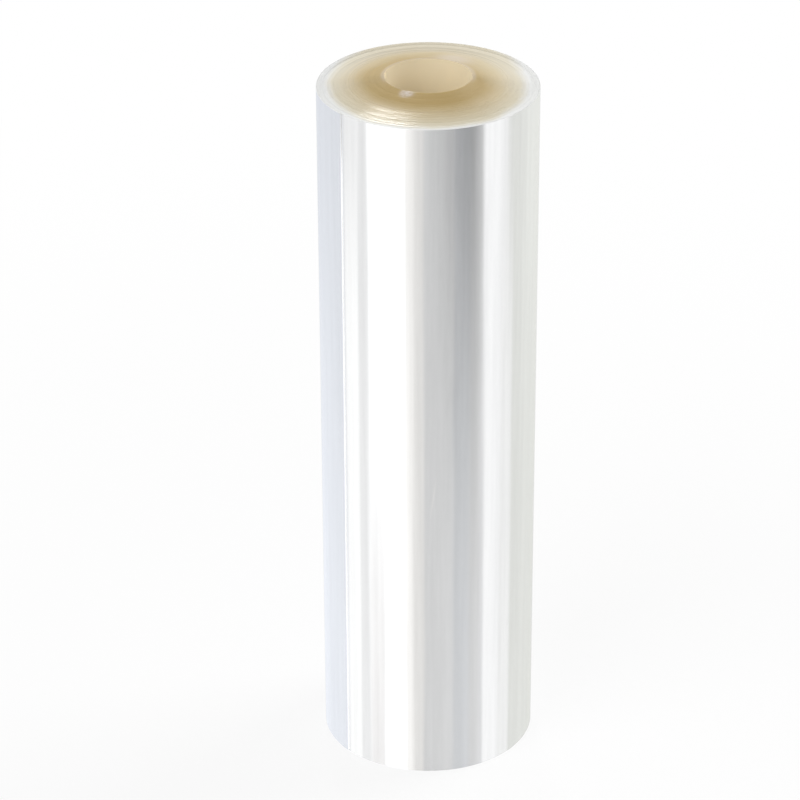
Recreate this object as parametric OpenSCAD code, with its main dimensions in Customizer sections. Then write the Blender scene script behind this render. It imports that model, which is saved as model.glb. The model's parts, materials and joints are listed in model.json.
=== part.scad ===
// Roll of clear cake collar film, wound without a core and standing on its end.
// The inner turns have slipped lengthwise, so the upper end is a low cone and the
// lower end is hollow by the same amount. The origin is on the bore's axis, at the
// level that the roll stands on.

/* [Film] */
// Width of the film, which is the length of the roll
film_width = 150; // [80:1:200]
// Length of film on the roll, in metres
film_length = 10; // [5:0.5:20]
// Thickness of the film
film_thickness = 0.125; // [0.1:0.005:0.2]
// Air that the winding leaves between one turn and the next
turn_gap = 0.0118; // [0.005:0.0001:0.03]

/* [Winding] */
// Diameter of the open bore that the winding mandrel left
bore_d = 17.6; // [12:0.1:40]
// Direction of the film's loose outer end, in degrees round the roll
tail_angle = 220; // [0:1:359]

/* [Ends] */
// How far the innermost turns have slipped out of the upper end
slip = 2.1; // [0.5:0.1:4]
// Width of the ring of outer turns that still lie flush and carry the roll
flush_width = 1.6; // [0.8:0.1:3]
// How the slip gathers towards the bore, where 1 is a straight cone
slip_power = 1.15; // [0.8:0.05:2]
// Number of turns, about, that slipped together as one step of the ends
step_turns = 5; // [4:1:10]

/* [Hidden] */
MM_PER_M = 1000;
ROUND = 72; // facets of a full circle
OVER = 1; // how far a cutting shape runs past what it cuts

// The middle of the film follows r = first_r + pitch * degrees / 360.
bore_r = bore_d / 2;
pitch = film_thickness + turn_gap;
first_r = bore_r + film_thickness / 2;
last_r = sqrt(pow(first_r, 2) + film_length * MM_PER_M * pitch / PI);
turns = (last_r - first_r) / pitch;
tail_r = last_r + film_thickness / 2;
head_angle = tail_angle - 360 * turns;

// The slipped turns lie between the flush ring and the bore, in equal steps.
flush_r = tail_r - pitch - flush_width;
steps = max(1, round((flush_r - bore_r) / (step_turns * pitch)));
step_width = (flush_r - bore_r) / steps;

// Radius of the inner side of step i, where step 0 is the flush ring
function step_r(i) = flush_r - i * step_width;

// Height to which step i has slipped, from 0 on the flush ring to slip at the bore
function step_z(i) = slip * pow(i / steps, slip_power);

// Points of one end, from outside the roll to the bore, at height z on the flush ring
function end_line(z) = [
    [tail_r + OVER, z],
    for (i = [1 : steps]) each [
        [step_r(i - 1), z + step_z(i - 1)],
        [step_r(i - 1), z + step_z(i)]
    ],
    [bore_r, z + slip]
];

// The same points, from the bore outwards
function reverse(points) = [for (i = [len(points) - 1 : -1 : 0]) points[i]];

// Solid of the wound turns, bounded by two like ends that lie a film's width apart
module slipped_turns() {
    rotate_extrude($fn = ROUND)
        polygon(concat(end_line(0), reverse(end_line(film_width))));
}

// Half a turn of the film's outer face, as half a disc of radius r
module half_turn(r, height) {
    rotate_extrude(angle = 180, $fn = ROUND)
        square([r, height]);
}

// Outermost turn: two half turns on offset centres, which leave one film edge at the tail
module outer_turn(height) {
    centre_shift = pitch / 4;
    first_half_r = tail_r - 3 * centre_shift;
    rotate([0, 0, tail_angle]) {
        translate([-centre_shift, 0, 0])
            half_turn(first_half_r, height);
        translate([centre_shift, 0, 0])
            rotate([0, 0, 180])
                half_turn(first_half_r + 2 * centre_shift, height);
    }
}

// Wedge of air at the film's inner end, where the second turn climbs over that edge
module head_gap(height) {
    climb_r = bore_r + film_thickness;
    climb_angle = acos(bore_r / climb_r);
    rotate([0, 0, head_angle])
        linear_extrude(height)
            polygon([
                [0, 0],
                bore_r * [cos(climb_angle), -sin(climb_angle)],
                [climb_r, 0]
            ]);
}

// The whole roll, which is one strip of film
module film_roll() {
    reach = film_width + slip + 2 * OVER;
    color([0.88, 0.88, 0.84])
        difference() {
            intersection() {
                slipped_turns();
                translate([0, 0, -OVER]) outer_turn(reach);
            }
            translate([0, 0, -OVER]) head_gap(reach);
        }
}

film_roll();
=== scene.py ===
"""Looks of a roll of clear cake collar film that stands on its end in a plain studio."""

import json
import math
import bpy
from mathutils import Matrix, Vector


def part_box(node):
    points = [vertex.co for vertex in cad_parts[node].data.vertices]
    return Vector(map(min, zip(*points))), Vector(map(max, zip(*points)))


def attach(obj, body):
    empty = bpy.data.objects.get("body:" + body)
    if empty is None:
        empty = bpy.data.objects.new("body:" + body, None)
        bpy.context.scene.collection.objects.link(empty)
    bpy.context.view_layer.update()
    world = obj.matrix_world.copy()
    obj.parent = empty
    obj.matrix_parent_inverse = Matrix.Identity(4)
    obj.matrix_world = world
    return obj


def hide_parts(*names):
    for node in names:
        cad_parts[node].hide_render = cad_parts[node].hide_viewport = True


bl_info = {
    "name": "Collar film roll",
    "version": (1, 0, 0),
    "blender": (4, 5, 0),
    "location": "View3D > Sidebar > Film Roll",
    "description": "Winds a roll of clear collar film and sets up the studio that it stands in",
    "category": "Object",
}

from collections import namedtuple

import bpy
import numpy as np
from bpy.props import FloatProperty, FloatVectorProperty, IntProperty, PointerProperty
from mathutils import Quaternion, Vector

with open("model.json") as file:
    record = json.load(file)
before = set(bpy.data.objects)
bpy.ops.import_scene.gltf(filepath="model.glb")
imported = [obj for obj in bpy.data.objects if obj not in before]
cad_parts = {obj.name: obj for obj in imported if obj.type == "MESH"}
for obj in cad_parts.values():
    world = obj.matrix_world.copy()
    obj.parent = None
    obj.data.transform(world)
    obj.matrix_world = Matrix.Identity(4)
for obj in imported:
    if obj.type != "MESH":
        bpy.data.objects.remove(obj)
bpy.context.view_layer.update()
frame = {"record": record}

MM = 0.001
NODE = "film_roll"
ROLL_NAME = "wound_film"

# Sizes that the part's own solid sets
CAD_LOW, CAD_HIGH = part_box(NODE)
CAD_RADIUS = min(CAD_HIGH.x - CAD_LOW.x, CAD_HIGH.y - CAD_LOW.y) / 2
MOUNTS = {mount["name"]: mount for mount in frame["record"]["mounts"]}
BORE = MOUNTS["spindle_bore"]["dims"]
BORE_RADIUS = BORE["r_mm"] * MM
FILM_WIDTH = BORE["length_mm"] * MM
SLIP = CAD_HIGH.z - FILM_WIDTH


class RollSizes(bpy.types.PropertyGroup):
    """Sizes of the wound film."""

    film_width: FloatProperty(
        name="Film width", description="Width of the film, which is the roll's length",
        default=FILM_WIDTH, min=0.05, unit="LENGTH")
    film_thickness: FloatProperty(
        name="Film thickness", description="Thickness of the film",
        default=0.125 * MM, min=0.05 * MM, precision=6, unit="LENGTH")
    bore_radius: FloatProperty(
        name="Bore radius", description="Radius of the open bore",
        default=BORE_RADIUS, min=0.004, unit="LENGTH")
    outer_radius: FloatProperty(
        name="Outer radius", description="Radius of the roll where it is narrowest",
        default=CAD_RADIUS, min=0.01, unit="LENGTH")
    turns: FloatProperty(
        name="Turns", description="Turns of film; the part turn sets where the film begins",
        default=100.94, min=10.0, max=200.0)
    tail_angle: FloatProperty(
        name="Tail angle", description="Direction of the film's loose outer end",
        default=math.radians(220.0), subtype="ANGLE")
    tail_lift: FloatProperty(
        name="Tail lift", description="How far the loose outer end stands off the roll",
        default=0.03 * MM, min=0.0, precision=5, unit="LENGTH")
    slip: FloatProperty(
        name="Slip", description="How far the innermost turns stand out of the upper end",
        default=SLIP, min=0.0, precision=5, unit="LENGTH")
    flush_turns: FloatProperty(
        name="Flush turns", description="Outer turns that lie flush and carry the roll",
        default=12.7, min=2.0)
    edge_jitter: FloatProperty(
        name="Edge jitter", description="How unevenly neighbouring turns lie in the ends",
        default=0.03 * MM, min=0.0, precision=5, unit="LENGTH")
    ripple: FloatProperty(
        name="Ripple", description="Height of the slack waves in the outermost turn",
        default=0.03 * MM, min=0.0, precision=5, unit="LENGTH")
    seed: IntProperty(
        name="Seed", description="Other numbers give other slack and other uneven edges",
        default=0, min=0)
    turn_segments: IntProperty(
        name="Turn segments", description="Straight lengths that one turn is made of",
        default=96, min=24, max=128)


class RollColours(bpy.types.PropertyGroup):
    """Colours of the film, from its clear face to the depth of its cut edges."""

    face: FloatVectorProperty(
        name="Face", description="Silvery face of many clear layers",
        default=(0.94, 0.945, 0.95), min=0.0, max=1.0, size=3, subtype="COLOR")
    bore: FloatVectorProperty(
        name="Bore", description="Inner face of the first turn",
        default=(0.86, 0.76, 0.56), min=0.0, max=1.0, size=3, subtype="COLOR")
    rim: FloatVectorProperty(
        name="Rim", description="Cut edges of the outermost turns",
        default=(0.81, 0.815, 0.80), min=0.0, max=1.0, size=3, subtype="COLOR")
    pale: FloatVectorProperty(
        name="Pale", description="Cut edges a little way in from the rim",
        default=(0.71, 0.65, 0.50), min=0.0, max=1.0, size=3, subtype="COLOR")
    middle: FloatVectorProperty(
        name="Middle", description="Cut edges half way to the bore",
        default=(0.63, 0.53, 0.34), min=0.0, max=1.0, size=3, subtype="COLOR")
    deep: FloatVectorProperty(
        name="Deep", description="Cut edges near the bore",
        default=(0.48, 0.35, 0.145), min=0.0, max=1.0, size=3, subtype="COLOR")
    # Pale colour of the painted glint where the film begins, also used for the painted highlight
    # on the bore's lip and for a pale patch
    pale_glint: FloatVectorProperty(
        name="Bruise", description="Bruised spot where the film begins",
        default=(0.76, 0.70, 0.66), min=0.0, max=1.0, size=3, subtype="COLOR")


class StudioSettings(bpy.types.PropertyGroup):
    """Level of the studio's light."""

    fill: FloatProperty(
        name="Fill", description="Even light from all round",
        default=0.5, min=0.0)
    key_power: FloatProperty(
        name="Key light", description="Power of the soft light at the front left",
        default=2.4, min=0.0, subtype="POWER", unit="POWER")
    side_power: FloatProperty(
        name="Side light", description="Power of the soft light at the back right",
        default=3.8, min=0.0, subtype="POWER", unit="POWER")
    back_power: FloatProperty(
        name="Back light", description="Power of the small light that glints on the cut edges",
        default=0.75, min=0.0, subtype="POWER", unit="POWER")


class Value:
    """A socket on which Python's operators add Math nodes."""

    def __init__(self, sketch, socket):
        self.sketch = sketch
        self.socket = socket

    def __add__(self, other):
        return self.sketch.maths("ADD", self, other)

    def __radd__(self, other):
        return self.sketch.maths("ADD", other, self)

    def __sub__(self, other):
        return self.sketch.maths("SUBTRACT", self, other)

    def __rsub__(self, other):
        return self.sketch.maths("SUBTRACT", other, self)

    def __mul__(self, other):
        return self.sketch.maths("MULTIPLY", self, other)

    def __rmul__(self, other):
        return self.sketch.maths("MULTIPLY", other, self)

    def __truediv__(self, other):
        return self.sketch.maths("DIVIDE", self, other)

    def __rtruediv__(self, other):
        return self.sketch.maths("DIVIDE", other, self)

    def __pow__(self, other):
        return self.sketch.maths("POWER", self, other)

    def __rpow__(self, other):
        return self.sketch.maths("POWER", other, self)


# Sockets by which a Mix node takes and gives colours
MIX_FACTOR, MIX_FIRST, MIX_SECOND = 0, 6, 7
MIX_RESULT = 2

# A pattern of noise: its scale, how many finer ones are added to it, and how strongly
Noise = namedtuple("Noise", "scale detail roughness")


class Sketch:
    """A node tree, with one method that adds any node and a few that use it."""

    def __init__(self, tree):
        self.tree = tree

    def node(self, kind, settings=None, values=None):
        """Adds a node: its settings first, then the numbers or links of its sockets."""
        made = self.tree.nodes.new(kind)
        for name, setting in (settings or {}).items():
            if name == "stops":
                self.set_stops(made.color_ramp, setting)
            else:
                setattr(made, name, setting)
        for name, value in (values or {}).items():
            if isinstance(value, Value):
                self.tree.links.new(value.socket, made.inputs[name])
            else:
                made.inputs[name].default_value = value
        return made

    def set_stops(self, ramp, stops):
        """Gives a colour ramp its stops, each with a place and a colour."""
        while len(ramp.elements) < len(stops):
            ramp.elements.new(1.0)
        for element, (place, colour) in zip(ramp.elements, stops):
            element.position = place
            element.color = (*colour, 1.0)

    def get(self, kind, settings=None, values=None, output=0):
        """Adds a node and gives one of its outputs."""
        return Value(self, self.node(kind, settings, values).outputs[output])

    def maths(self, operation, *terms):
        """Result of one Math node."""
        return self.get("ShaderNodeMath", {"operation": operation}, dict(enumerate(terms)))

    def length(self, x, y):
        """Length of a line that runs x one way and y across it."""
        return self.maths("SQRT", x * x + y * y)

    def smooth(self, value, start, end, low=0.0, high=1.0):
        """Goes smoothly from low to high as value goes from start to end."""
        return self.get(
            "ShaderNodeMapRange",
            {"interpolation_type": "SMOOTHSTEP"},
            {"Value": value, "From Min": start, "From Max": end, "To Min": low, "To Max": high},
        )

    def greater(self, value, limit):
        """Whether value is greater than limit."""
        return self.get(
            "FunctionNodeCompare",
            {"data_type": "FLOAT", "operation": "GREATER_THAN"},
            {0: value, 1: limit},
        )

    def parts(self, vector):
        """The x, y and z of a vector."""
        found = self.node("ShaderNodeSeparateXYZ", values={0: vector})
        return [Value(self, found.outputs[axis]) for axis in "XYZ"]

    def vector(self, x, y, z):
        """A vector of x, y and z."""
        return self.get("ShaderNodeCombineXYZ", values={"X": x, "Y": y, "Z": z})

    def noise(self, place, pattern):
        """Noise that varies in space."""
        return self.get(
            "ShaderNodeTexNoise",
            {"noise_dimensions": "3D"},
            {"Vector": place, "Scale": pattern.scale, "Detail": pattern.detail,
             "Roughness": pattern.roughness},
        )

    def noise_along(self, distance, pattern):
        """Noise that varies along a line."""
        return self.get(
            "ShaderNodeTexNoise",
            {"noise_dimensions": "1D"},
            {"W": distance, "Scale": pattern.scale, "Detail": pattern.detail,
             "Roughness": pattern.roughness},
        )

    def mix(self, factor, first, second):
        """Colour that goes from first to second."""
        first, second = (
            colour if isinstance(colour, Value) else (*colour, 1.0) for colour in (first, second)
        )
        return self.get(
            "ShaderNodeMix",
            {"data_type": "RGBA"},
            {MIX_FACTOR: factor, MIX_FIRST: first, MIX_SECOND: second},
            output=MIX_RESULT,
        )

    def bump(self, height):
        """Normal of a surface that has this relief on it, in metres."""
        return self.get(
            "ShaderNodeBump", values={"Strength": 1.0, "Distance": 1.0, "Height": height})


BLACK = (0.0, 0.0, 0.0)
WHITE = (1.0, 1.0, 1.0)

# Sockets that both materials of the film share: polyester, shiny along the winding
FILM_GLOSS = {"IOR": 1.58, "Anisotropic": 0.8, "Anisotropic Rotation": 0.25}

# How far inside the outer radius the wall starts, and where it is reached in full
WALL_START = 0.6 * MM
WALL_FULL = 0.4 * MM

# Painted highlight on the loose end: how brightly it shines at the top, and how far down it
# reaches its full shine
TOP_SHINE = 0.35
SHINE_FADE = 16 * MM

# A point of the film's surface, with its parts and its distance from the roll's axis
Point = namedtuple("Point", "place x y z radius")


def new_material(name):
    """An empty node material, and the sketch that fills it."""
    material = bpy.data.materials.new(name)
    material.use_nodes = True
    material.node_tree.nodes.clear()
    return material, Sketch(material.node_tree)


def finish_material(sketch, shader):
    """Puts the shader on the surface."""
    sketch.node("ShaderNodeOutputMaterial", values={"Surface": shader})


def finish_film(sketch, values):
    """Ends a material of the film with its shader."""
    finish_material(
        sketch, sketch.get("ShaderNodeBsdfPrincipled", values={**FILM_GLOSS, **values}))


def surface_point(sketch):
    """The point of the surface that a material colours."""
    place = sketch.get("ShaderNodeTexCoord", output="Object")
    x, y, z = sketch.parts(place)
    return Point(place, x, y, z, sketch.length(x, y))


def depth_share(sizes, at):
    """Share of the way from the bore to the outside."""
    return (at.radius - sizes.bore_radius) / (sizes.outer_radius - sizes.bore_radius)


def on_outer_turn(sketch, sizes, at):
    """Tells the outermost turn from the others."""
    outside = sizes.outer_radius
    return sketch.smooth(at.radius, outside - WALL_START, outside - WALL_FULL)


def painted_tail_shine(sketch, sizes, at):
    """Strength of the painted highlight on the loose outer end, which is less near the top."""
    top = sizes.film_width
    return sketch.smooth(at.z, top, top - SHINE_FADE, TOP_SHINE, 1.0)


# Noise that differs from one layer to the next and stays the same along a layer
LAYERS = Noise(2600.0, 4.0, 0.7)

# Tint of the layers: the share of the way to the outside at which each colour stands
TINT_PLACES = {"deep": 0.29, "middle": 0.58, "pale": 0.84, "rim": 0.98}
TINT_CLOUDS = Noise(160.0, 2.0, 0.5)
CLOUD_SHARE = 0.12
LAYER_SHARE = 0.08

# Painted light and shade in the tint, each with the range over which it grows: lighter, towards
# the rim's colour, at both sides and on the bore's far side, and darker, away from it, along the
# far side of the rim
BESIDE_PAINTED_LIGHT = 0.12
BESIDE_RANGE = (0.5, 1.0)
REAR_PAINTED_LIGHT = 0.36
REAR_LEAN = 0.4
REAR_RANGE = (-0.4, 1.0)
BACK_PAINTED_SHADE = 0.16
BACK_RANGE = (0.1, 0.9)


def layer_tint(sketch, sizes, colours, at):
    """Colour of the layers, which darken and turn tan towards the bore, with painted light and
    shade round the end.
    """
    depth = depth_share(sizes, at)
    # Painted light and shade: lighter at the sides and behind the bore, darker along the far rim
    rear_light = sketch.smooth((REAR_LEAN * at.x + at.y) / at.radius, *REAR_RANGE)
    back = sketch.smooth(at.y / at.radius, *BACK_RANGE)
    beside_light = sketch.smooth(sketch.maths("ABSOLUTE", at.x) / at.radius, *BESIDE_RANGE)
    cloud = sketch.noise(at.place, TINT_CLOUDS) - 0.5
    layer = sketch.noise_along(at.radius, LAYERS) - 0.5
    tint = (
        depth * (1.0 - BACK_PAINTED_SHADE * back + BESIDE_PAINTED_LIGHT * beside_light)
        + REAR_PAINTED_LIGHT * rear_light * (1.0 - depth)
        + CLOUD_SHARE * cloud
        + LAYER_SHARE * layer
    )
    stops = [(place, getattr(colours, name)) for name, place in TINT_PLACES.items()]
    return sketch.get("ShaderNodeValToRGB", {"stops": stops}, {"Fac": tint})


# Faint slanting fold in the outermost turn: the direction, in degrees, and the height of its
# ends, its crest and its side in degrees, and how it starts and ends along its run
FOLD_DEPTH = 0.03 * MM
FOLD_LOW = (-90.5, 58 * MM)
FOLD_HIGH = (-78.4, 94 * MM)
FOLD_CREST = 0.5
FOLD_SIDE = 9.0
FOLD_START = (0.0, 0.3)
FOLD_END = (0.8, 1.1)

# Slack of the outermost turn, and how little it varies along the roll
SLACK = Noise(130.0, 1.0, 0.4)
SLACK_STRETCH = 0.15
SLACK_DEPTH = 0.06 * MM

# Wear of the wall: fine streaks, broad ones and clouds, with the weight of each, how little
# they vary along the roll, and the level of the face where it is most worn
STREAKS = Noise(900.0, 3.0, 0.6)
BROAD_STREAKS = Noise(220.0, 2.0, 0.5)
WALL_CLOUDS = Noise(70.0, 3.0, 0.5)
STREAK_WEIGHT = 0.5
BROAD_WEIGHT = 0.3
CLOUD_WEIGHT = 0.2
STREAK_STRETCH = 0.03
CLOUD_STRETCH = 0.4
WEAR_RANGE = (0.3, 0.7)
WORN_LEVEL = 0.93

# Shine of the wall: how much of it is like metal, and its roughness between and in streaks
WALL_METAL = 0.76
FACE_ROUGHNESS = 0.09
STREAK_ROUGHNESS = 0.06

# Where the bore's face ends, past the first layer
BORE_FULL = 0.02 * MM
BORE_END = 0.06 * MM

# The bore's face: how much of its own colour is left below, where painted shade darkens it, how
# far down that is, and its painted glow, which stands in for light that the film carries in
BORE_SHARE = 0.65
BORE_SHADE_FADE = 20 * MM
PAINTED_GLOW_FADE = 12 * MM
PAINTED_GLOW_LEVEL = 0.15

# Painted highlight along the loose outer end: its level, and its edges in degrees from the end
PAINTED_GLINT_LEVEL = 0.25
GLINT_RISE = (-0.3, -0.15)
GLINT_FALL = (0.0, 0.1)


def fold(sketch, degrees, z):
    """Height of the fold in the outermost turn, from 0 to 1."""
    run = (z - FOLD_LOW[1]) / (FOLD_HIGH[1] - FOLD_LOW[1])
    aside = degrees - (FOLD_LOW[0] + (FOLD_HIGH[0] - FOLD_LOW[0]) * run)
    return (
        sketch.smooth(aside, -FOLD_CREST, FOLD_CREST)
        * sketch.smooth(aside, FOLD_CREST, FOLD_SIDE, 1.0, 0.0)
        * sketch.smooth(run, *FOLD_START)
        * sketch.smooth(run, *FOLD_END, 1.0, 0.0)
    )


def wall_relief(sketch, at, degrees):
    """Height of the outermost turn over the ones below."""
    slack = sketch.noise(sketch.vector(at.x, at.y, at.z * SLACK_STRETCH), SLACK)
    return SLACK_DEPTH * slack + FOLD_DEPTH * fold(sketch, degrees, at.z)


def wall_colour(sketch, colours, at, drawn, streak):
    """Silver of the outermost turn, which is duller in streaks and clouds."""
    broad = sketch.noise(drawn, BROAD_STREAKS)
    cloud = sketch.noise(sketch.vector(at.x, at.y, at.z * CLOUD_STRETCH), WALL_CLOUDS)
    clean = STREAK_WEIGHT * streak + BROAD_WEIGHT * broad + CLOUD_WEIGHT * cloud
    worn = [WORN_LEVEL * part for part in colours.face]
    return sketch.mix(sketch.smooth(clean, *WEAR_RANGE), worn, colours.face)


def bore_colour(sketch, sizes, colours, at):
    """Colour of the bore's face, with painted shade that darkens it downwards."""
    low = [
        BORE_SHARE * own + (1 - BORE_SHARE) * deep
        for own, deep in zip(colours.bore, colours.deep)
    ]
    # Painted shade: the bore's face darkens downwards, away from its open end
    down = sketch.smooth(at.z, sizes.film_width + sizes.slip, sizes.film_width - BORE_SHADE_FADE)
    return sketch.mix(down, colours.bore, low)


def painted_tail_glint(sketch, sizes, at, degrees):
    """Painted highlight: a bright line where the loose outer end bends down to the turn below.
    """
    tail = math.degrees(sizes.tail_angle) - 360
    rise = sketch.smooth(degrees, *(tail + step for step in GLINT_RISE))
    fall = sketch.smooth(degrees, *(tail + step for step in GLINT_FALL), 1.0, 0.0)
    return painted_tail_shine(sketch, sizes, at) * rise * fall


def film_face_material(sizes, colours):
    """Clear film over a hundred more layers: a silvery, streaky gloss, with a painted glow and
    painted shade in the bore and a painted highlight along the loose end.
    """
    material, sketch = new_material("film_face")
    at = surface_point(sketch)
    degrees = sketch.maths("ARCTAN2", at.y, at.x) * (180 / math.pi)
    first_layer = sizes.bore_radius + sizes.film_thickness
    in_bore = sketch.smooth(
        at.radius, first_layer + BORE_FULL, first_layer + BORE_END, 1.0, 0.0)
    on_wall = on_outer_turn(sketch, sizes, at)
    drawn = sketch.vector(at.x, at.y, at.z * STREAK_STRETCH)
    streak = sketch.noise(drawn, STREAKS)
    tint = layer_tint(sketch, sizes, colours, at)
    inside = sketch.mix(in_bore, tint, bore_colour(sketch, sizes, colours, at))
    wall = wall_colour(sketch, colours, at, drawn, streak)
    # Painted glow in the bore, brightest at its open end, standing in for light that the film
    # carries in
    painted_glow = in_bore * sketch.smooth(
        at.z, sizes.film_width - PAINTED_GLOW_FADE, sizes.film_width + sizes.slip)
    lit = sketch.mix(painted_glow, BLACK, [PAINTED_GLOW_LEVEL * part for part in colours.bore])
    # Painted highlight along the loose outer end, given as emission
    tail_highlight = on_wall * painted_tail_glint(sketch, sizes, at, degrees)
    finish_film(sketch, {
        "Base Color": sketch.mix(on_wall, inside, wall),
        "Metallic": WALL_METAL * on_wall,
        "Roughness": FACE_ROUGHNESS + STREAK_ROUGHNESS * streak,
        "Coat Weight": 0.5,
        "Coat Roughness": 0.04,
        "Emission Color": sketch.mix(tail_highlight, lit, [PAINTED_GLINT_LEVEL] * 3),
        "Emission Strength": 1.0,
        "Normal": sketch.bump(on_wall * wall_relief(sketch, at, degrees)),
    })
    return material


# Relief of the cut edges: single layers, bands of them, and the slope that they lean outwards by
BANDS = Noise(650.0, 2.0, 0.35)
RING_DEPTH = 0.006 * MM
BAND_DEPTH = 0.22 * MM
EDGE_SLOPE = 0.17

# A round mark on the end: its direction in degrees, how far out from the bore its middle lies,
# the distances from its middle at which it starts to fade and is gone, and its strength
Mark = namedtuple("Mark", "degrees out inner outer strength")
# A pale patch behind the bore, on its right
PALE_PATCH = Mark(62.0, 2.0 * MM, 1.0 * MM, 6.0 * MM, 0.4)
GLINT_SPOT = Mark(243.5, 0.8 * MM, 0.4 * MM, 2.2 * MM, 1.0)
SPECKLE = Noise(1500.0, 2.0, 0.6)

SPECKLE_RANGE = (0.25, 0.6, 0.45, 1.0)

# Painted highlight on the pale lip round the bore: where it starts to fade and is gone, its
# strength, and the range over which it grows away from the front
LIP_INNER = 0.3 * MM
LIP_OUTER = 1.2 * MM
LIP_HIGHLIGHT = 0.3
LIP_RANGE = (-0.6, 0.0)

# Roughness of the cut edges by their share of the way out, and what single layers add
INSIDE_ROUGHNESS = (0.35, 0.6, 0.5, 0.1)
OUTSIDE_ROUGHNESS = (0.82, 1.0, 0.0, 0.2)
RING_ROUGHNESS = 0.12

# The loose end's face, which has a painted glow: how far from the cut edges it starts to shine
# and does so in full
FACE_START = 0.1 * MM
FACE_FULL = 0.4 * MM
PAINTED_FACE_GLOW = 0.8


def mark_share(sketch, sizes, at, mark):
    """How strongly a round mark shows."""
    angle = math.radians(mark.degrees)
    reach = sizes.bore_radius + mark.out
    aside = at.x - reach * math.cos(angle)
    ahead = at.y - reach * math.sin(angle)
    away = sketch.length(aside, ahead)
    return sketch.smooth(away, mark.inner, mark.outer, mark.strength, 0.0)


def lip_patch_glint_share(sketch, sizes, at):
    """How much of the end's colour gives way to the pale colour: the painted highlight on its
    lip, a pale patch, and the painted glint where the film begins.
    """
    rim = sizes.bore_radius
    lip_highlight = sketch.smooth(at.radius, rim + LIP_INNER, rim + LIP_OUTER, LIP_HIGHLIGHT, 0.0)
    lip_highlight = lip_highlight * sketch.smooth(at.y / at.radius, *LIP_RANGE)
    pale_patch = mark_share(sketch, sizes, at, PALE_PATCH)
    speckle = sketch.smooth(sketch.noise(at.place, SPECKLE), *SPECKLE_RANGE)
    # Painted glint: a speckled pale spot where the film begins
    pale_glint = mark_share(sketch, sizes, at, GLINT_SPOT) * speckle
    return sketch.maths("MAXIMUM", sketch.maths("MAXIMUM", lip_highlight, pale_patch), pale_glint)


def on_tail_face(sketch, sizes, at):
    """Tells the loose end's own face from the cut edges above and below it."""
    top = sizes.film_width
    above = sketch.smooth(at.z, FACE_START, FACE_FULL)
    below = sketch.smooth(at.z, top - FACE_FULL, top - FACE_START, 1.0, 0.0)
    return on_outer_turn(sketch, sizes, at) * above * below


def film_edge_material(sizes, colours):
    """Cut edges of the film, pale at the rim and tan where light has gone deepest, with painted
    light and shade round the end, painted highlights on the bore's lip and where the film
    begins, and a painted glow on the loose end's face.
    """
    material, sketch = new_material("film_edge")
    at = surface_point(sketch)
    ring = sketch.noise_along(at.radius, LAYERS)
    coarse = sketch.noise_along(at.radius, BANDS)
    depth = depth_share(sizes, at)
    rough = sketch.smooth(depth, *INSIDE_ROUGHNESS) + sketch.smooth(depth, *OUTSIDE_ROUGHNESS)
    tint = layer_tint(sketch, sizes, colours, at)
    # Painted glow on the loose end's cut face, given as emission
    painted_shine = on_tail_face(sketch, sizes, at) * painted_tail_shine(sketch, sizes, at)
    finish_film(sketch, {
        "Base Color": sketch.mix(lip_patch_glint_share(sketch, sizes, at), tint, colours.pale_glint),
        "Metallic": 0.0,
        "Roughness": rough + RING_ROUGHNESS * ring,
        "Emission Color": sketch.mix(painted_shine, BLACK, WHITE),
        "Emission Strength": PAINTED_FACE_GLOW,
        "Normal": sketch.bump(
            RING_DEPTH * ring + BAND_DEPTH * coarse - EDGE_SLOPE * at.radius),
    })
    return material


# The tree's inputs, with the kind of socket that each has
FILM_INPUTS = {
    "Segments": "NodeSocketInt",
    "Rows": "NodeSocketInt",
    "First Turn": "NodeSocketFloat",
    "Last Turn": "NodeSocketFloat",
    "Turns": "NodeSocketFloat",
    "Flush Turn": "NodeSocketFloat",
    "Bore Radius": "NodeSocketFloat",
    "Pitch": "NodeSocketFloat",
    "Film Thickness": "NodeSocketFloat",
    "Film Width": "NodeSocketFloat",
    "Tail Angle": "NodeSocketFloat",
    "Tail Lift": "NodeSocketFloat",
    "Slip": "NodeSocketFloat",
    "Edge Jitter": "NodeSocketFloat",
    "Ripple": "NodeSocketFloat",
    "Seed": "NodeSocketInt",
    "Film Face": "NodeSocketMaterial",
    "Film Edge": "NodeSocketMaterial",
}
STRIP_PLACE = "strip_place"
STRIP_FACING = "strip_facing"
SHARP_ANGLE = math.radians(40)

# Slip of the turns: how it gathers towards the bore, and the groups of turns that slipped as one
SLIP_POWER = 1.15
GROUP_SHARE = 0.12
TURN_GROUPS = Noise(0.16, 1.0, 0.5)
SINGLE_TURNS = Noise(1.9, 2.0, 0.6)
SLIP_SEED_STEP = 1000.0

# Slack of the outermost turn: its waves, and where it starts and is full, in turns from the tail
WAVES = Noise(2.6, 1.0, 0.5)
WAVE_RISE = 12.0
WAVE_SEED_STEP = 100.0
SLACK_START = 1.06
SLACK_FULL = 0.96
TAIL_CURL = 7 / 360


def slip_height(sketch, size, turn):
    """How far a turn has slipped upwards, with the small unevenness of neighbouring turns."""
    share = sketch.maths("MAXIMUM", (size["Flush Turn"] - turn) / size["Flush Turn"], 0.0)
    seeded = turn + size["Seed"] * SLIP_SEED_STEP
    group = sketch.noise_along(seeded, TURN_GROUPS) - 0.5
    jitter = sketch.noise_along(seeded, SINGLE_TURNS)
    cone = (size["Slip"] - size["Edge Jitter"]) * share ** SLIP_POWER
    steps = GROUP_SHARE * size["Slip"] * group * share * (1.0 - share)
    return cone + steps + size["Edge Jitter"] * jitter


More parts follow.
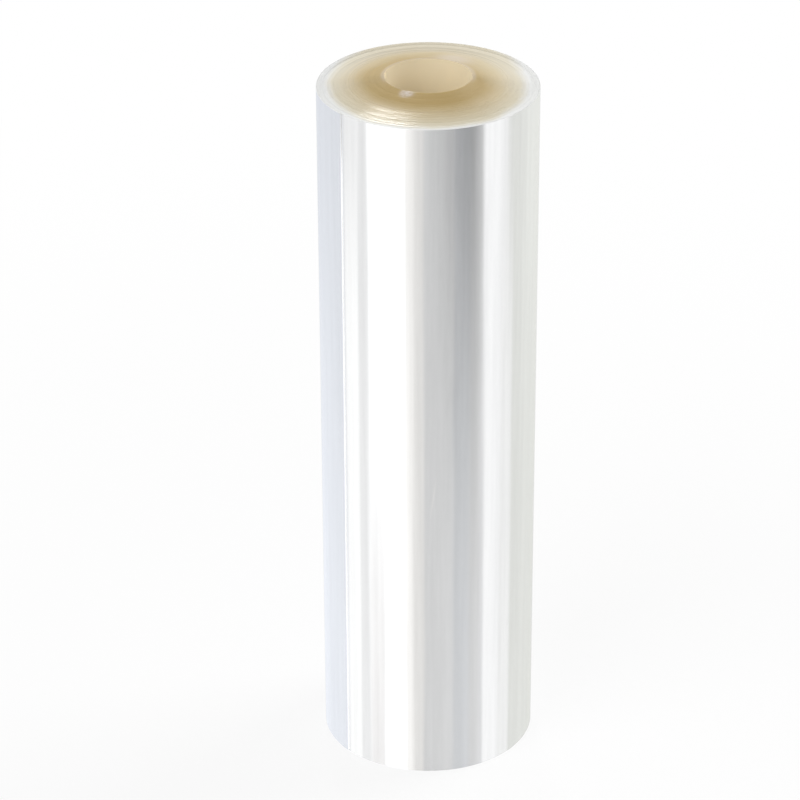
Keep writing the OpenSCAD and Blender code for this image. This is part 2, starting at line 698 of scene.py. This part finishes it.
def stand_off(sketch, size, turn, across, along, height):
    """How far the outermost turn stands off the ones below, in its waves and at its tail."""
    last = size["Turns"]
    outermost = sketch.smooth(turn, last - SLACK_START, last - SLACK_FULL)
    seeded = height * WAVE_RISE + size["Seed"] * WAVE_SEED_STEP
    wave = sketch.noise(sketch.vector(across, along, seeded), WAVES)
    curl = sketch.smooth(turn, last - TAIL_CURL, last)
    return outermost * size["Ripple"] * wave + curl * size["Tail Lift"]


def straight_strip(sketch, size):
    """A straight strip that keeps where its points lie in it and which way its faces look."""
    strip = sketch.get(
        "GeometryNodeMeshCube",
        values={
            "Size": (1.0, 1.0, 1.0),
            "Vertices X": size["Segments"] + 1.0,
            "Vertices Y": 2,
            "Vertices Z": size["Rows"] + 1.0,
        },
    )
    x, y, z = (part + 0.5 for part in sketch.parts(sketch.get("GeometryNodeInputPosition")))
    turn = size["First Turn"] + (size["Last Turn"] - size["First Turn"]) * x
    for name, domain, kept in (
        (STRIP_PLACE, "POINT", sketch.vector(turn, y, z)),
        (STRIP_FACING, "FACE", sketch.get("GeometryNodeInputNormal")),
    ):
        strip = sketch.get(
            "GeometryNodeStoreNamedAttribute",
            {"data_type": "FLOAT_VECTOR", "domain": domain},
            {"Geometry": strip, "Name": name, "Value": kept},
        )
    return strip, turn, y, z


def wound_place(sketch, size, turn, y, z):
    """Where a point of the strip lies once it is wound."""
    angle = size["Tail Angle"] - (size["Turns"] - turn) * math.tau
    across = sketch.maths("COSINE", angle)
    along = sketch.maths("SINE", angle)
    height = size["Film Width"] * z + slip_height(sketch, size, turn)
    radius = (
        size["Bore Radius"] + turn * size["Pitch"] + size["Film Thickness"] * (1.0 - y)
        + stand_off(sketch, size, turn, across, along, height)
    )
    return sketch.vector(radius * across, radius * along, height)


def smooth_shaded(sketch, mesh):
    """Smooth shading that leaves the strip's own edges sharp."""
    mesh = sketch.get(
        "GeometryNodeSetShadeSmooth", {"domain": "FACE"}, {0: mesh, "Shade Smooth": True})
    bend = sketch.get("GeometryNodeInputMeshEdgeAngle", output="Unsigned Angle")
    sharp = sketch.greater(bend, SHARP_ANGLE)
    return sketch.get(
        "GeometryNodeSetShadeSmooth",
        {"domain": "EDGE"},
        {0: mesh, "Selection": sharp, "Shade Smooth": False},
    )


def with_materials(sketch, size, mesh):
    """The film's own material on its broad sides, and another on all its cut edges."""
    facing = sketch.get(
        "GeometryNodeInputNamedAttribute", {"data_type": "FLOAT_VECTOR"}, {"Name": STRIP_FACING})
    _, sideways, _ = sketch.parts(facing)
    cut = sketch.greater(0.5, sketch.maths("ABSOLUTE", sideways))
    mesh = sketch.get(
        "GeometryNodeSetMaterial", values={"Geometry": mesh, "Material": size["Film Face"]})
    return sketch.get(
        "GeometryNodeSetMaterial",
        values={"Geometry": mesh, "Selection": cut, "Material": size["Film Edge"]},
    )


def wound_film_tree():
    """Winds a straight strip of film onto a spiral, with its edges slipped as the turns were."""
    tree = bpy.data.node_groups.new("Wound film", "GeometryNodeTree")
    tree.is_modifier = True
    tree.interface.new_socket("Geometry", in_out="OUTPUT", socket_type="NodeSocketGeometry")
    for name, kind in FILM_INPUTS.items():
        tree.interface.new_socket(name, in_out="INPUT", socket_type=kind)
    sketch = Sketch(tree)
    given = sketch.node("NodeGroupInput")
    size = {name: Value(sketch, given.outputs[name]) for name in FILM_INPUTS}

    strip, turn, y, z = straight_strip(sketch, size)
    wound = sketch.get(
        "GeometryNodeSetPosition",
        values={"Geometry": strip, "Position": wound_place(sketch, size, turn, y, z)},
    )
    wound = smooth_shaded(sketch, wound)
    wound = sketch.get("GeometryNodeRealizeInstances", values={"Geometry": wound})
    wound = with_materials(sketch, size, wound)
    sketch.node("NodeGroupOutput", values={"Geometry": wound})
    return tree


def with_modifier(name, tree, inputs):
    """A plain mesh of what the tree makes with these inputs."""
    holder = bpy.data.objects.new(name, bpy.data.meshes.new(name))
    bpy.context.scene.collection.objects.link(holder)
    modifier = holder.modifiers.new(tree.name, "NODES")
    modifier.node_group = tree
    for item in tree.interface.items_tree:
        if item.in_out == "INPUT":
            modifier[item.identifier] = inputs[item.name]
    graph = bpy.context.evaluated_depsgraph_get()
    mesh = bpy.data.meshes.new_from_object(holder.evaluated_get(graph), depsgraph=graph)
    bpy.data.objects.remove(holder)
    mesh.name = name
    return mesh


def joined(name, meshes):
    """One object that holds all the meshes."""
    objects = []
    for mesh in meshes:
        made = bpy.data.objects.new(name, mesh)
        bpy.context.scene.collection.objects.link(made)
        objects.append(made)
    with bpy.context.temp_override(
        active_object=objects[0], selected_editable_objects=objects, selected_objects=objects
    ):
        bpy.ops.object.join()
    return objects[0]


# The film's second UV map: what each area of it holds
BAKE_MAP = "OFBake"
Area = namedtuple("Area", "u v width height")
HIDDEN_AREA = Area(0.01, 0.01, 0.33, 0.28)
WALL_AREA = Area(0.365, 0.35, 0.62, 0.64)
BORE_AREA = Area(0.365, 0.10, 0.62, 0.23)
TAIL_AREA = Area(0.365, 0.01, 0.62, 0.02)
UPPER_DISC = Area(0.175, 0.82, 0.165, 0.165)
LOWER_DISC = Area(0.175, 0.48, 0.165, 0.165)

# Share of a hidden turn's row that is left free on each side, and share of an end's row in use
ROW_MARGIN = 0.1
TAIL_FILL = 0.6


def attribute(mesh, name):
    """A vector attribute as rows of x, y and z; the mesh no longer holds it."""
    found = mesh.attributes[name]
    rows = np.empty(3 * len(found.data), np.float32)
    found.data.foreach_get("vector", rows)
    mesh.attributes.remove(found)
    return rows.reshape(-1, 3)


def spread_in_map(mesh, sizes):
    """Gives the sides that show most of the map, and the hidden ones the rest of it."""
    ends = np.empty(len(mesh.loops), np.int32)
    mesh.loops.foreach_get("vertex_index", ends)
    starts = np.empty(len(mesh.polygons), np.int32)
    mesh.polygons.foreach_get("loop_start", starts)
    counts = np.diff(np.append(starts, len(ends)))
    points = np.empty(3 * len(mesh.vertices), np.float32)
    mesh.vertices.foreach_get("co", points)
    x, y, _ = points.reshape(-1, 3)[ends].T / sizes.outer_radius
    turn, depth, across = attribute(mesh, STRIP_PLACE)[ends].T
    lengthwise, outward, upward = np.repeat(attribute(mesh, STRIP_FACING), counts, axis=0).T
    middle = np.repeat(np.add.reduceat(turn, starts) / counts, counts)

    u = np.empty(len(ends))
    v = np.empty(len(ends))

    def put(chosen, area, along, up):
        u[chosen] = (area.u + area.width * along)[chosen]
        v[chosen] = (area.v + area.height * up)[chosen]

    row = 2 * np.floor(middle) + (outward > 0)
    rows = 2 * math.ceil(sizes.turns + 1)
    in_row = ROW_MARGIN + (1 - 2 * ROW_MARGIN) * across
    put(slice(None), HIDDEN_AREA, turn - np.floor(middle), (row + in_row) / rows)
    put((outward < -0.5) & (middle > sizes.turns - 1), WALL_AREA, turn - sizes.turns + 1, across)
    put((outward > 0.5) & (middle < 1), BORE_AREA, turn, across)
    put(upward > 0.5, UPPER_DISC, x, y)
    put(upward < -0.5, LOWER_DISC, x, y)
    level = (lengthwise > 0) + 2 * (middle > sizes.turns / 2)
    put(abs(lengthwise) > 0.5, TAIL_AREA, across, level + TAIL_FILL * depth)

    layer = mesh.uv_layers.new(name=BAKE_MAP)
    layer.data.foreach_set("uv", np.stack([u, v], 1).astype(np.float32).ravel())


# The outermost turn is made apart from the others, finer and with more rows
OUTER_PART = 1.12
OUTER_FINENESS = 2
OUTER_ROWS = 48


class FILM_OT_wind_roll(bpy.types.Operator):
    """Winds the film onto its bore as one spiral strip"""

    bl_idname = "film.wind_roll"
    bl_label = "Wind the Roll"

    def execute(self, context):
        sizes = context.scene.film_sizes
        colours = context.scene.film_colours
        spare = sizes.film_thickness + 2 * sizes.ripple
        pitch = (sizes.outer_radius - spare - sizes.bore_radius) / sizes.turns
        if pitch <= sizes.film_thickness:
            raise RuntimeError("the turns don't fit between the bore and the outer radius")
        shared = {
            "Turns": sizes.turns,
            "Flush Turn": sizes.turns - sizes.flush_turns,
            "Bore Radius": sizes.bore_radius,
            "Pitch": pitch,
            "Film Thickness": sizes.film_thickness,
            "Film Width": sizes.film_width,
            "Tail Angle": sizes.tail_angle,
            "Tail Lift": sizes.tail_lift,
            "Slip": sizes.slip,
            "Edge Jitter": sizes.edge_jitter,
            "Ripple": sizes.ripple,
            "Seed": sizes.seed,
            "Film Face": film_face_material(sizes, colours),
            "Film Edge": film_edge_material(sizes, colours),
        }
        tree = wound_film_tree()
        split = sizes.turns - OUTER_PART
        inner = {
            "First Turn": 0.0,
            "Last Turn": split,
            "Rows": 1,
            "Segments": round(split * sizes.turn_segments),
        }
        outer = {
            "First Turn": split,
            "Last Turn": sizes.turns,
            "Rows": OUTER_ROWS,
            "Segments": round(OUTER_PART * OUTER_FINENESS * sizes.turn_segments),
        }
        roll = joined(ROLL_NAME, [
            with_modifier("inner_turns", tree, {**shared, **inner}),
            with_modifier("outer_turn", tree, {**shared, **outer}),
        ])
        roll.data.name = ROLL_NAME
        spread_in_map(roll.data, sizes)
        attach(roll, "root")
        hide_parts(NODE)
        return {"FINISHED"}


# Tints of the cards
BLUE = (0.955, 0.99, 1.06)
COOL = (0.98, 1.00, 1.03)
WARM = (1.02, 1.0, 0.97)
GREENISH = (1.0, 1.01, 0.96)

# Grey cards and soft lights that the shiny wall mirrors, by direction in degrees round from +X.
# Each has a level at its start and end, for its upper part and for its lower part.
Card = namedtuple("Card", "start end tint upper lower")
CARDS = (
    Card(-113, -107, WARM, (1.04, 0.95), (1.18, 1.02)),
    Card(-105, -96, WARM, (0.80, 0.73), (0.85, 0.80)),
    Card(-94, -64, WHITE, (0.60, 0.34), (0.68, 0.76)),
    Card(-61, -47, COOL, (0.29, 0.18), (0.64, 0.75)),
    Card(-42, -33, WHITE, (0.24, 0.53), (0.73, 0.77)),
    Card(-30, -22, WHITE, (1.03, 1.12), (1.04, 1.12)),
    Card(-12, -3, WHITE, (1.07, 1.00), (1.08, 1.02)),
    Card(5, 28, GREENISH, (0.75, 0.84), (0.79, 0.81)),
    Card(38, 72, GREENISH, (0.87, 0.82), (0.82, 0.76)),
    Card(110, 169, BLUE, (0.80, 0.77), (0.97, 0.94)),
    Card(171, 202, WHITE, (0.80, 0.87), (0.95, 0.95)),
    Card(204, 245, WHITE, (1.30, 1.30), (1.30, 1.30)),
)
CARD_START = -114

# Smaller cards below a height of their own
Patch = namedtuple("Patch", "start end top colour")
PATCHES = (
    Patch(170, 192, -0.419, (1.20, 1.20, 1.19)),
    Patch(202, 222, -0.51, (0.98, 0.96, 0.95)),
    Patch(-34, -26.5, -0.465, (0.78, 0.78, 0.79)),
    Patch(-8, 11.5, -0.43, (0.98, 0.98, 0.97)),
)

# Soft edges of the patches: a share of a full turn at the sides, and a rise at the top
PATCH_SIDE = 0.008
PATCH_TOP = 0.006

# Rise of the mirrored rays where the cards' upper part turns into the lower one, and where
# the cards end in white
CARD_MIDDLE = (-0.385, -0.53)
CARD_TOP = (0.05, 0.35)


def ramp_place(degrees):
    """Share of a full turn from where the cards start."""
    return (degrees - CARD_START) / 360


def card_ramp(sketch, turn, part):
    """Colour of one part of the cards in the direction of turn."""
    stops = []
    for card in CARDS:
        for degrees, level in zip((card.start, card.end), getattr(card, part)):
            stops.append((ramp_place(degrees), [level * tint for tint in card.tint]))
    return sketch.get("ShaderNodeValToRGB", {"stops": stops}, {"Fac": turn})


def patch_share(sketch, turn, z, patch):
    """Tells a patch from what is round it."""
    start, end = ramp_place(patch.start), ramp_place(patch.end)
    return (
        sketch.smooth(turn, start, start + PATCH_SIDE)
        * sketch.smooth(turn, end - PATCH_SIDE, end, 1.0, 0.0)
        * sketch.smooth(z, patch.top + PATCH_TOP, patch.top - PATCH_TOP)
    )


def studio_world(settings):
    """White all round, with soft lights and grey cards that only reflections show."""
    world = bpy.data.worlds.new("studio")
    world.use_nodes = True
    world.node_tree.nodes.clear()
    sketch = Sketch(world.node_tree)
    x, y, z = sketch.parts(sketch.get("ShaderNodeTexCoord", output="Generated"))
    around = sketch.maths("ARCTAN2", y, x) / math.tau
    turn = sketch.maths("FRACT", around + ramp_place(360))
    upper = card_ramp(sketch, turn, "upper")
    lower = card_ramp(sketch, turn, "lower")
    mirrored = sketch.mix(sketch.smooth(z, *CARD_MIDDLE), upper, lower)
    for patch in PATCHES:
        mirrored = sketch.mix(patch_share(sketch, turn, z, patch), mirrored, patch.colour)
    mirrored = sketch.mix(sketch.smooth(z, *CARD_TOP), mirrored, WHITE)
    rays = sketch.node("ShaderNodeLightPath")
    straight = Value(sketch, rays.outputs["Is Camera Ray"])
    through = Value(sketch, rays.outputs["Is Transmission Ray"])
    glossy = Value(sketch, rays.outputs["Is Glossy Ray"])
    colour = sketch.mix(glossy, [settings.fill] * 3, mirrored)
    colour = sketch.mix(sketch.maths("MAXIMUM", straight, through), colour, WHITE)
    back = sketch.get("ShaderNodeBackground", values={"Color": colour, "Strength": 1.0})
    sketch.node("ShaderNodeOutputWorld", values={"Surface": back})
    bpy.context.scene.world = world


# Soft square lamps: direction in degrees, distance and width in metres, and whose power it is
Lamp = namedtuple("Lamp", "name azimuth elevation distance width power")
LAMPS = (
    Lamp("key_light", -133.0, 48.0, 0.9, 0.5, "key_power"),
    Lamp("side_light", 30.0, 45.0, 1.0, 0.5, "side_power"),
    Lamp("back_light", 97.3, 44.0, 1.0, 0.12, "back_power"),
)


def place_lamp(lamp, settings):
    """Hangs up a lamp that looks at the middle of the roll and isn't seen itself."""
    data = bpy.data.lights.new(lamp.name, "AREA")
    data.shape = "SQUARE"
    data.size = lamp.width
    data.energy = getattr(settings, lamp.power)
    made = bpy.data.objects.new(lamp.name, data)
    bpy.context.scene.collection.objects.link(made)
    turn, rise = math.radians(lamp.azimuth), math.radians(lamp.elevation)
    level = math.cos(rise)
    away = Vector((math.cos(turn) * level, math.sin(turn) * level, math.sin(rise)))
    made.location = Vector((0, 0, FILM_WIDTH / 2)) + away * lamp.distance
    made.rotation_mode = "QUATERNION"
    made.rotation_quaternion = away.to_track_quat("Z", "Y")
    made.visible_camera = False


# The floor: its size, and how much of it is plain white, near the roll and from afar
FLOOR_SIZE = 8.0
FLOOR_GREY = (0.93, 0.93, 0.93, 1.0)
NEAR, FAR = 0.03, 0.35
WHITE_NEAR, WHITE_FAR = 0.8, 1.0


def floor_material():
    """White floor that still shows the shadow of what stands on it."""
    material, sketch = new_material("white_floor")
    rays = sketch.node("ShaderNodeLightPath")
    seen = Value(sketch, rays.outputs["Is Camera Ray"])
    at = surface_point(sketch)
    share = sketch.smooth(at.radius, NEAR, FAR, WHITE_NEAR, WHITE_FAR)
    lit = sketch.get("ShaderNodeBsdfDiffuse", values={"Color": FLOOR_GREY})
    white = sketch.get(
        "ShaderNodeEmission", values={"Color": (*WHITE, 1.0), "Strength": 1.0})
    shader = sketch.get("ShaderNodeMixShader", values={0: share * seen, 1: lit, 2: white})
    finish_material(sketch, shader)
    return material


def lay_floor():
    """Lays a square floor, which the wall doesn't mirror."""
    half = FLOOR_SIZE / 2
    mesh = bpy.data.meshes.new("floor")
    mesh.from_pydata(
        [(-half, -half, 0), (half, -half, 0), (half, half, 0), (-half, half, 0)],
        [],
        [(0, 1, 2, 3)],
    )
    mesh.materials.append(floor_material())
    floor = bpy.data.objects.new("floor", mesh)
    bpy.context.scene.collection.objects.link(floor)
    floor.visible_glossy = False


# The camera, in pixels of the photograph and in outer radii of the roll
PHOTO_WIDTH = 800
FOCAL_PIXELS = 3531.3
AXIS_PIXEL = 428.34
SENSOR_WIDTH = 36.0
CAMERA_AWAY = 28.908
CAMERA_UP = 12.285
CAMERA_PITCH = math.radians(28.12)


def place_camera(sizes):
    """Looks down on the roll from the front, as far off as the photograph's perspective asks."""
    radius = sizes.outer_radius
    data = bpy.data.cameras.new("camera")
    data.sensor_width = SENSOR_WIDTH
    data.lens = SENSOR_WIDTH * FOCAL_PIXELS / PHOTO_WIDTH
    camera = bpy.data.objects.new("camera", data)
    bpy.context.scene.collection.objects.link(camera)
    camera.location = (0, -CAMERA_AWAY * radius, sizes.film_width + CAMERA_UP * radius)
    pitch = Quaternion((1, 0, 0), math.pi / 2 - CAMERA_PITCH)
    aside = math.atan((AXIS_PIXEL - PHOTO_WIDTH / 2) / FOCAL_PIXELS)
    camera.rotation_mode = "QUATERNION"
    camera.rotation_quaternion = pitch @ Quaternion((0, 1, 0), aside)
    bpy.context.scene.camera = camera


class FILM_OT_set_stage(bpy.types.Operator):
    """Lays the floor and sets the lights, the surroundings and the camera"""

    bl_idname = "film.set_stage"
    bl_label = "Set the Stage"

    def execute(self, context):
        settings = context.scene.film_studio
        lay_floor()
        studio_world(settings)
        for lamp in LAMPS:
            place_lamp(lamp, settings)
        place_camera(context.scene.film_sizes)
        context.scene.view_settings.view_transform = "Standard"
        return {"FINISHED"}


class VIEW3D_PT_film_roll(bpy.types.Panel):
    """Lists the steps, and the values that they read"""

    bl_label = "Collar Film Roll"
    bl_space_type = "VIEW_3D"
    bl_region_type = "UI"
    bl_category = "Film Roll"

    def draw(self, context):
        for operator in (FILM_OT_wind_roll, FILM_OT_set_stage):
            self.layout.operator(operator.bl_idname)
        for name in GROUPS:
            group = getattr(context.scene, name)
            box = self.layout.box()
            for value in group.__annotations__:
                box.prop(group, value)


GROUPS = {"film_sizes": RollSizes, "film_colours": RollColours, "film_studio": StudioSettings}
CLASSES = (*GROUPS.values(), FILM_OT_wind_roll, FILM_OT_set_stage, VIEW3D_PT_film_roll)


def register():
    for each in CLASSES:
        bpy.utils.register_class(each)
    for name, group in GROUPS.items():
        setattr(bpy.types.Scene, name, PointerProperty(type=group))


def unregister():
    for name in GROUPS:
        delattr(bpy.types.Scene, name)
    for each in reversed(CLASSES):
        bpy.utils.unregister_class(each)


def main():
    """Builds the roll and its studio."""
    register()
    bpy.ops.film.wind_roll()
    bpy.ops.film.set_stage()


if __name__ == "__main__":
    main()
